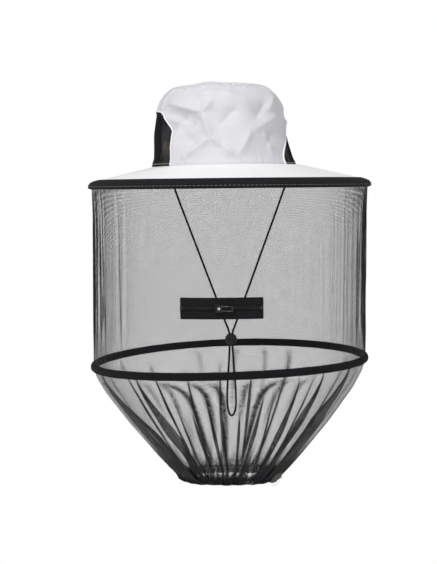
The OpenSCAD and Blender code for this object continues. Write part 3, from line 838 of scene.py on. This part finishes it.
for side, word in ((1, "upper"), (-1, "lower")):
    angle = linspace(-ZIP_HALF, ZIP_HALF, 96)[:, None]
    rumple = waves(angle * 5, [(0.22, 1.3, 0.2), (0.18, 2.9, 0.6), (0.12, 6.1, 0.4)])
    fray = waves(angle * 5, [(0.12, 7.3, 0.1), (0.1, 12.7, 0.5)])
    z = side * (TAPE_UP + fray * (TAPE_UP > 11))
    r = TAPE_R + (TAPE_OFF + rumple * 0.6 * (TAPE_OFF > 0.1))
    pts, around_it = on_zip(angle, r, z), len(TAPE_UP)
    faces = [q[::-side] for q in ring_quads(pts, wrap=False)]
    faces += [range(around_it), range(len(pts) * around_it)[:-around_it - 1:-1]]
    piece("zip_cloth_" + word, pts, faces, "zip", "zip_tape", ZIP_TAPE, "zip_tape_" + word,
          stack(angle * TAPE_R, z))

    # the coil: a flattened helix of nylon, whose turns reach across the centre line between the other half's
    turns, per_turn = 72, 10
    t = linspace(0, turns, turns * per_turn)
    phase = TAU * t + (0 if side > 0 else pi)
    coil_z = side * (0.75 + 1.15 * cos(phase))
    coil_r = TAPE_R + (1.45 + 0.42 * sin(phase))
    coil = sweep_tube(on_zip((t / turns * 2 - 1) * COIL_HALF, coil_r, coil_z), 0.27, 5, up=(0, -1, 0.2))
    piece("zip_teeth_" + word, *coil, "zip", "zip_coil", COIL, "zip_coil_" + word)

# the gusset of net behind the slit
angle, z = linspace(-ZIP_HALF * 0.93, ZIP_HALF * 0.93, 40)[:, None], span(-3, 3, 7)
pts = on_zip(angle, 166.75, z)
piece("zip_cord_tape", pts, grid(pts), "zip", "zip_tape", ZIP_TAPE, uv=stack(angle * TAPE_R, z))

# ---- hoop ----

turn, a = around(720), around(18).T
gathers = [(0.07, 131, 0.1), (0.06, 197, 0.5), (0.06, 83, 0.3), (0.08, 29, 0.7)]
gather = waves(turn / TAU + 0.0004 * cos(a), gathers)
r = HOOP_R + (4.3 + gather) * cos(a)
z = HOOP_Z + (4.75 + gather) * sin(a) + hoop_shift(turn)
pts = polar(r, turn, z, sway(HOOP_Z))
piece("hoop_sleeve_cloth", pts, ring_quads(pts), "hoop", "black_tape", SLEEVE, "hoop_sleeve",
      stack(turn * HOOP_R, a * 4.2))


def along_hoop(turn):
    return polar(HOOP_R, turn, HOOP_Z + hoop_shift(turn), sway(HOOP_Z))


# the sprung wire inside it, bent with the hoop, and the crimp that joins its ends at the back
turn = linspace(pi / 2 + 0.003, pi / 2 + TAU - 0.003, 361)
piece("hoop_wire_bent", *sweep_tube(along_hoop(turn), 2, 10), "hoop", "spring_steel", STEEL, "hoop_wire")
turn = linspace(pi / 2 - 0.061, pi / 2 + 0.061, 25)
pinch = 2.75 + 0.2 * cos(linspace(-3 * pi, 3 * pi, 25))
piece("hoop_crimp", *sweep_tube(along_hoop(turn), pinch, 14), "hoop", "spring_steel", STEEL, "hoop_ferrule")

# ---- skirt ----

SKIRT_TOP, SKIRT_BOTTOM = -237, -380
SKIRT_H = SKIRT_TOP - SKIRT_BOTTOM
CLOTH_L = 1060
NECK_TILT = 3  # how far the front of the neck is above its middle
skirt_radius = smooth_line(
    array([-380, -375, -366, -348, -309, -270, -250, -241, -237]),
    array([61.5, 66.5, 75.5, 91.5, 123.4, 151.5, 162.6, 165.2, 165.3]))

# Knife pleats of the gathered net: angle in degrees and depth in mm half way down, degrees each leans from
# hoop to neck, share of its depth left at the neck, and how far down it starts. The deepest hang at the front
# of both sides, as big leaf-shaped folds
FOLDS = [
    (8, 6, 0, 0.4, 0.05), (24, 8, 0, 0.4, 0.05), (42, 5, 0, 0.4, 0.2), (60, 4, 0, 0.4, 0.1),
    (78, 5, 0, 0.4, 0.2), (95, 4, 0, 0.4, 0.15), (112, 5, 0, 0.4, 0.2), (130, 6, 0, 0.4, 0.1),
    (148, 8, 0, 0.4, 0.05), (163, 6, 0, 0.4, 0.1), (176, 6, 4, 0.4, 0.04), (213, 60, 20, 0.75, 0),
    (236, 22, 14, 0.6, 0), (246, 4, 1, 0.6, 0.2), (253, 5, 2, 0.5, 0.3), (262, 5, 5, 0.5, 0.15),
    (267, 4, 2, 0.5, 0.35), (275, 4, 2, 0.5, 0.3), (283, 6, -5, 0.5, 0.1), (290, 4, 3, 0.5, 0.15),
    (299, 11, 0, 0.5, 0.03), (308.5, 20, -6, 0.5, 0), (324, 50, -9, 0.6, 0), (347, 7, -3, 0.4, 0.05),
]
fold_turn, fold_depth, fold_lean, fold_left, fold_start = array(FOLDS).T
PLEATS = len(FOLDS)
side_of = np.where(sin(radians(2 * fold_turn)) > 0, 1, -1)
wander = rng.uniform(-1.6, 1.6, PLEATS) * np.where(fold_depth > 10, 0.5, 1)
# the path of the cloth across one pleat: out to the first fold, back under it, and on from the second
FLAT_T = array([0, 0.12, 0.24, 0.36, 0.455, 0.465, 0.475, 0.487, 0.5])
CREASED = array([0, 0, 0, 0, 0.2, 1, 0.2, 0.06, 0.06])
PRESSED = array([0, 0, 0, 0, 0, 0.5, 1, 1, 1])
FOLD_OUT = array([0, 0.1, 0.3, 0.6, 0.95, 1, 0.8, 0.4, 0])
FLAT_T = concatenate([FLAT_T, 1 - FLAT_T[-2:0:-1]])
CREASED, PRESSED = (concatenate([v, v[-2:0:-1]]) for v in (CREASED, PRESSED))
FOLD_OUT = concatenate([FOLD_OUT, -FOLD_OUT[-2:0:-1]])

# Soft folds that leave the hoop along its edge and hook over into the skirt: angle in degrees where each ends
# up, how far to one side it starts, how deep it reaches and how strong it is
HOOKS = [
    (255, -11, 0.9, 1.0), (262, -7, 0.6, 0.9), (281, 9, 0.85, 1.0), (268, -5, 0.7, 0.8), (288, 6, 0.5, 0.5),
    (247, -5, 0.5, 0.5), (297, 6, 0.4, 0.4), (275, 3, 0.45, 0.6), (238, -5, 0.4, 0.4),
    (60, 2, 0.5, 0.3), (72, 2, 0.6, 0.3), (88, -1, 0.6, 0.35), (104, 1, 0.5, 0.2),
]


def hook_strength(theta, down):
    """How strongly a point of the skirt lies in one of the hooked folds."""
    total = 0 * theta
    past_hoop = max(down - 0.05, 0)
    wide = 1.3 + 2.5 * exp(-past_hoop / 0.02)
    for end, start, reach, strong in HOOKS:
        middle = end + start * exp(-past_hoop / 0.055) - start * 0.5 * (down - 0.4)
        apart = (np.degrees(theta) - middle + 180) % 360 - 180
        fade = clip((down - 0.055) / 0.02, 0, 1) * clip((reach - down) / 0.25, 0, 1)
        total = total + strong * exp(-((apart / wide) ** 2)) * fade
    return total


def chaikin(values):
    """Rounds the corners of a closed line once."""
    ahead = np.roll(values, -1, 0)
    both = np.stack([0.75 * values + 0.25 * ahead, 0.25 * values + 0.75 * ahead], 1)
    return both.reshape(-1, values.shape[1])


def pleat(k, start, width, depth, middle, r0):
    """One pleat at a level: how far round it is, how far out, and where it is creased and pressed flat."""
    b = min(depth, 0.8 * width)
    middle = min(max(middle, 0.56 * b), width - 0.56 * b)
    if side_of[k] < 0:
        middle = width - middle
    knife = clip(b / 2.5, 0, 1)
    tip = min(0.65, 0.25 * b)
    soft = FLAT_T * width + (middle - width / 2) * sin(pi * FLAT_T)
    back = linspace(b / 2 - tip, tip - b / 2, 5)
    ends = concatenate([[b / 2 - tip, b / 2], back, [-b / 2, tip - b / 2]]) + middle
    folded = concatenate([linspace(0, ends[0], 5)[:4], ends, linspace(ends[-1], width, 5)[1:4]])
    t = soft + (folded - soft) * knife
    high = FOLD_OUT * (0.6 + 0.06 * b) * (0.4 + 0.6 * knife)
    crease, pressed = CREASED * knife, PRESSED * clip(b / 4, 0, 1)
    if side_of[k] < 0:
        t, high, crease, pressed = (
            concatenate([[0], v[::-1][:-1]]) for v in (width - t, high, crease, pressed))
    return start * r0 + t, high, crease, pressed


def skirt_row(z):
    """One level of the gathered net: its points, how far along the cloth they are, and how dense it is."""
    down = (SKIRT_TOP - z) / SKIRT_H
    r0 = skirt_radius(z)
    grown = clip((down - fold_start) / (0.5 - fold_start), 0, 1) ** 0.8
    depth = fold_depth * grown * (1 - (1 - fold_left) * clip((down - 0.55) / 0.45, 0, 1))
    turned = radians(fold_turn + fold_lean * (down - 0.5))
    # each pleat has the cloth around it, the deeper ones more of it
    after_it = np.append(turned[1:], turned[0] + TAU)
    has = fold_depth + 4
    cell_end = turned + (after_it - turned) * has / (has + np.roll(has, -1))
    cell_start = np.append(cell_end[-1] - TAU, cell_end[:-1])
    width = (cell_end - cell_start) * r0
    middle = (turned - cell_start) * r0 + wander * sin(4 * down + arange(PLEATS))
    pleats = [pleat(k, cell_start[k], width[k], depth[k], middle[k], r0) for k in range(PLEATS)]
    across, out, crease, pressed = (concatenate(v) for v in zip(*pleats))
    line = stack((r0 + out) * cos(across / r0), (r0 + out) * sin(across / r0), crease, pressed)
    x, y, crease, pressed = chaikin(chaikin(line)).T
    step = hypot(np.diff(x, append=x[0]), np.diff(y, append=y[0]))
    along = concatenate([[0], np.cumsum(step)])
    # small puckers, which deepen towards the neck
    theta = np.arctan2(y, x)
    hooked = hook_strength(theta, down)
    puckers = waves(along[:-1] / along[-1], [(0.5, 118, 0.3), (0.4, 83, 0.7), (0.25, 149, 0.1)])
    lift = (puckers * (0.1 + 1.9 * down ** 5) + 2.2 * hooked) * clip((SKIRT_TOP - 6 - z) / 4, 0, 1)
    level = z + hoop_shift(theta) * (1 - down) ** 1.5 - NECK_TILT * sin(theta) * down ** 3
    points = stack(x + lift * cos(theta) + sway(z), y + lift * sin(theta), level)
    dense = 5.5 * crease + 1.45 * pressed + 4.4 * hooked
    return concatenate([points, points[:1]]), along / along[-1] * CLOTH_L, np.append(dense, dense[0])


z_rows = linspace(SKIRT_TOP, SKIRT_BOTTOM, 48)
down = (SKIRT_TOP - z_rows) / SKIRT_H
pts, u, folded = (np.stack(v, 1) for v in zip(*(skirt_row(z) for z in z_rows)))
slant = hypot(z_rows - SKIRT_TOP, skirt_radius(z_rows) - skirt_radius(SKIRT_TOP))
gathered = waves(u / CLOTH_L, [(0.07, 9, 0.2), (0.06, 23, 0.6), (0.06, 41, 0.1), (0.05, 67, 0.8)])
streaks = clip(1.0 + waves(u / CLOTH_L, [(0.6, 57, 0.4), (0.6, 91, 0.7), (0.5, 131, 0.2)]), 0, 2)
# the net is bunched towards the neck, more so at the front
near_neck = clip((down - 0.74 - 1.3 * gathered) / 0.2, 0, 1)
at_neck = clip((down - 0.89 - 0.16 * gathered) / 0.05, 0, 1)
bunched = clip(0.75 - 0.65 * pts[..., 1] / hypot(pts[..., 0], pts[..., 1]), 0.45, 1)
dense = folded + (2.7 * near_neck ** 1.3 * streaks + 3.2 * at_neck) * bunched
skirt = piece("veil_skirt_tulle", pts, grid(pts)[:, ::-1], "hoop", "tulle", TULLE_SKIRT, "veil_net_skirt",
              stack(u, slant), dense)
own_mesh(skirt)

# ---- neck hem ----

NECK_Z = -384


def neck_point(r, theta, up):
    """A point round the neck, at a height above its tilted opening."""
    return polar(r, theta, NECK_Z + up - NECK_TILT * sin(theta), sway(NECK_Z))


turn = around(720)
loop_r, loop_z = array([
    (67.6, 10.4), (66.6, 9), (65, 6.6), (63.4, 4), (62.0, 1.6), (60.6, -0.4), (58.8, -0.9), (57.4, 0.4),
    (57.0, 3), (57.6, 6), (60, 8.6), (64, 10.2)]).T
pleats = waves(turn / TAU, [(0.5, 96, 0.2), (0.45, 71, 0.6), (0.35, 127, 0.4), (0.3, 37, 0.1)])
sag = waves(turn / TAU, [(0.4, 5, 0.3), (0.3, 9, 0.8), (0.5, 23, 0.5)])
r = loop_r + 1.1 * pleats * clip((loop_r - 60) / 2, -1, 1)
streaks = waves(turn / TAU, [(0.5, 57, 0.4), (0.5, 83, 0.7), (0.4, 31, 0.2)])
gap = exp(-(((np.degrees(turn) - 292) / 7) ** 2)) + 0.6 * exp(-(((np.degrees(turn) - 250) / 4) ** 2))
# thinner at the back, at the upper edge, and in two gaps in front
hem_dense = 1.1 - 1.2 * clip(sin(turn), 0, 1) + 0.6 * streaks - 1.4 * clip((loop_z - 7.5) / 3, 0, 1)
hem_dense = hem_dense - 2 * gap * clip(streaks + 0.8, 0, 1)
pts = neck_point(r, turn, loop_z + 0.6 * sag)
uv = stack(turn * 165, span(0, 30, len(loop_r)))
hem = piece("neck_hem_gathers", pts, ring_quads(pts)[:, ::-1], "neck_hem", "tulle", TULLE_HEM,
            "neck_hem_casing", uv, hem_dense)

# the elastic inside the hem, and the thread that gathers the net on it
turn = around(360)
band_r, band_z = array([
    (59.6, 0.6), (60.6, 1.6), (61.4, 4), (61.8, 6.4), (60.6, 6.6), (59.9, 4.2), (59.2, 2)]).T
r = band_r + 0.25 * waves(turn / TAU, [(1, 53, 0.1), (0.7, 31, 0.6)])
uv = stack(turn * 60, band_z + NECK_Z - NECK_TILT * sin(turn))
pts = neck_point(r, turn, band_z)
piece("neck_elastic_band", pts, ring_quads(pts)[:, ::-1], "neck_hem", "elastic", ELASTIC, "neck_elastic", uv)
turn = around(480)[:, 0]
r = 63 + 0.4 * cos(turn * 83) + 0.3 * cos(turn * 47 + 1)
line = neck_point(r, turn, 2.4 + 0.4 * cos(turn * 59))
piece("neck_gathering_thread", *sweep_tube(line, 0.45, 6, closed=True), "neck_hem", "black_tape", SLEEVE)

# the small blank label sewn to the hem
LABEL_TURN = radians(-31)
across, v = linspace(-7.5, 7.5, 25)[:, None], span(0, 1, 21)
r = 62.6 + 8.6 * v ** 1.15 + 0.5 * cos(across * 0.5 + 3 * v)
pts = neck_point(r, LABEL_TURN + across / 66, -0.6 + 11.6 * v + 0.25 * cos(across * 0.8))
uv = stack(across, 12 * v)
thick(piece("care_label_cloth", pts, grid(pts), "neck_hem", "label", LABEL, "care_label", uv), 0.5, 0)
# a thread border and a row of stitches inside it
border = concatenate([pts[:, 0], pts[-1, 1:], pts[-2::-1, -1], pts[0, -2:0:-1]])
centre = pts.reshape(-1, 3).mean(0)
rims = [sweep_tube(centre + (border - centre) * 0.97, 0.75, 6, closed=True, up=(1, 0.2, 0.4))]
for k in range(0, len(border), 3):
    stitch = border[[k, (k + 1) % len(border)]]
    rims.append(sweep_tube(centre + (stitch - centre) * 0.78 + pts[12, 10] * 0.012, 0.25, 5))
piece("care_label_edge", *join(rims), "neck_hem", "label", KHAKI)

# ---- cord anchors ----

HOLE_Z = -7
for side, word in ((-1, "left"), (1, "right")):
    # a strip of webbing from the sweatband, stepping in and down to a hole for the cord
    reach = 0 if side < 0 else 5.8  # the soft crown stands nearer on the right
    bend = array([
        (83.0 - reach, 9), (83.4 - reach, 4), (83.4 - 0.9 * reach, 0.6), (82.2 - 0.6 * reach, -1.2),
        (80.4 - 0.3 * reach, -2.4), (78.9, -3.6), (78.6, -6), (78.6, -11.2)])
    x, z = (v[:, None] for v in rounded(bend, 31, 2))
    y = span(-5, 5, 21)

    def away_from_hole(i, j):
        return hypot(y[0, j] + 0.25, z[np.minimum(i + 1, 30), 0] - HOLE_Z) > 1.9

    pts = stack(side * x, y + 0.08 * cos(z * 4), z)
    strip = piece("cord_webbing_" + word, pts, grid(pts, keep=away_from_hole), "hat", "black_tape", WEBBING,
                  "cord_anchor_" + word, stack(z, y))
    thick(strip, 1.3, 0)
    ring = around(32)[:, 0]
    eye = stack(side * 78.6, 2.35 * cos(ring), HOLE_Z + 2.35 * sin(ring))
    pts, faces = sweep_tube(eye, 0.85, closed=True, squash=1.3, up=(1, 0, 0))
    piece("cord_eyelet_" + word, pts, faces, "hat", "black_tape", WEBBING, uv=pts[:, 1:])

# ---- zip pull and cord lock ----

SLIDER_TURN = radians(270 - 4.4)
out = array([cos(SLIDER_TURN), sin(SLIDER_TURN), 0])
along = array([-out[1], out[0], 0])
up = array([0, 0, 1])


def on_pull(x, y, z):
    """A point by the pull's pin: how far along the zip, outwards and up."""
    return sum(np.multiply.outer(v, axis) for v, axis in ((x, along), (y, out), (z, up))) + pin


pin = out * 172.0 + up * ZIP_Z
# a bright bead on the pull's hub, bare where the black paint has gone, and bright there as a painted glint
ring = around(16)[:, 0]
bead = [(-1.5, 1.22), (-1.2, 1.5), (-0.5, 1.62), (0.5, 1.62), (1.2, 1.5), (1.5, 1.22)]
pts = array([on_pull(r * sin(ring), r * cos(ring), h + 0 * ring) for h, r in bead])
piece("zip_puller_bead", pts, ring_quads(pts, wrap=False), "zip_puller", "zip_metal", SILVER_WEAR_GLINT)
# the rim of the pull, lighter as worn metal and as a painted highlight on its edge
ends = linspace(-pi / 2, pi / 2, 9)
rim_x = concatenate([[3.0, 13.6], 14.2 + 1.5 * cos(ends), [13.6, 3.0]])
rim_z = concatenate([[-2.6, -2.7], 2.7 * sin(ends), [2.7, 2.6]])
rim = sweep_tube(on_pull(rim_x, 0.55 + 0 * rim_x, rim_z), 0.32, 6, closed=True, up=out)
piece("zip_puller_rim", *rim, "zip_puller", "zip_metal", PULLER_WEAR_HIGHLIGHT)

LOCK_Z = -212


def lock_tube(x, y, z, radius, closed):
    """A moulded rib on the lock: its line from the lock's middle, and its radius."""
    return sweep_tube(stack(x, y, z + LOCK_Z), radius, closed=closed, up=(0, 1, 0))


# a rim and a cross on the lock's button, and a rim round its body's mouth, all in a lighter plastic as a
# painted highlight
ring = around(40)[:, 0]
ribs = [lock_tube(3.5 * cos(ring), -9.6, 3.5 * sin(ring), 0.5, True)]
bar = linspace(-3.4, 3.4, 9)
for tilt in (0.5, 0.5 + pi / 2):
    ribs.append(lock_tube(bar * cos(tilt), -9.7 - 0.3 * cos(bar / 3.4 * pi / 2), bar * sin(tilt), 0.5, False))
button_ribs = piece("lock_button_ribs", *join(ribs), "lock_button", "lock_plastic", LOCK_HIGHLIGHT)
mouth = lock_tube(5.2 * cos(ring), -5.2, 5.2 * sin(ring), 0.45, True)
body_rim = piece("lock_body_rim", *mouth, "cord_lock", "lock_plastic", LOCK_HIGHLIGHT)

# ---- world, floor and lights ----

PURE = (1, 1, 1, 1)
FLOOR_Z, FLOOR_R = -0.62, 30

# the world and floor look plain white, and light the hat less than they look
world = bpy.data.worlds.new("studio")
bpy.context.scene.world = world
p = Paint(world)
lit, seen = (p.node("Background", {"Color": PURE, "Strength": power}) for power in (0.34, 1.0))
p.output(p.mix(p.node("LightPath", output="Is Camera Ray"), lit, seen), "OutputWorld")

p = Paint("floor")
pale = p.tint(p.noise(p.coords("Object"), 3), (0.86, 0.86, 0.86), (0.88, 0.88, 0.88))
diffuse = p.node("BsdfDiffuse", {"Color": pale})
glow = p.node("Emission", {"Color": PURE, "Strength": 1.0})
floor_paint = p.output(p.mix(p.node("LightPath", output="Is Camera Ray"), diffuse, glow))
mesh = bpy.data.meshes.new("floor")
corners = [(x * FLOOR_R, y * FLOOR_R, FLOOR_Z) for x, y in ((-1, -1), (1, -1), (1, 1), (-1, 1))]
mesh.from_pydata(corners, [], [(0, 1, 2, 3)])
mesh.materials.append(floor_paint)
placed("floor", mesh)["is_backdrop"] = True


def lamp(name, power, size, place):
    data = bpy.data.lights.new(name, "AREA")
    data.energy = power
    data.size = size
    obj = placed(name, data)
    obj.location = place
    obj.rotation_euler = (Vector((0, 0, -0.1)) - Vector(place)).to_track_quat("-Z", "Y").to_euler()


lamp("key", 43, 0.5, (-1.15, -1.5, 1.6))
lamp("fill", 17, 1.2, (1.7, -1.6, 0.7))

scene = bpy.context.scene
scene.view_settings.view_transform = "Standard"
scene.cycles.transparent_max_bounces = 48

# ---- CAD parts that show ----

for names, mat in (
    (("brim_stiffener",), BOARD), (("brim_edge_wire", "lock_spring"), STEEL),
    (("zip_slider_body", "zip_puller", "zip_stop_left", "zip_stop_right"), PULLER),
    (("lock_body", "lock_button"), LOCK),
):
    for n in names:
        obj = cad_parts[n]
        obj.data.materials.clear()
        obj.data.materials.append(mat)

low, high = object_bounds()
sizes = {"cad_box": [list(CAD_BOX[0]), list(CAD_BOX[1])], "visual_box": [list(low), list(high)]}
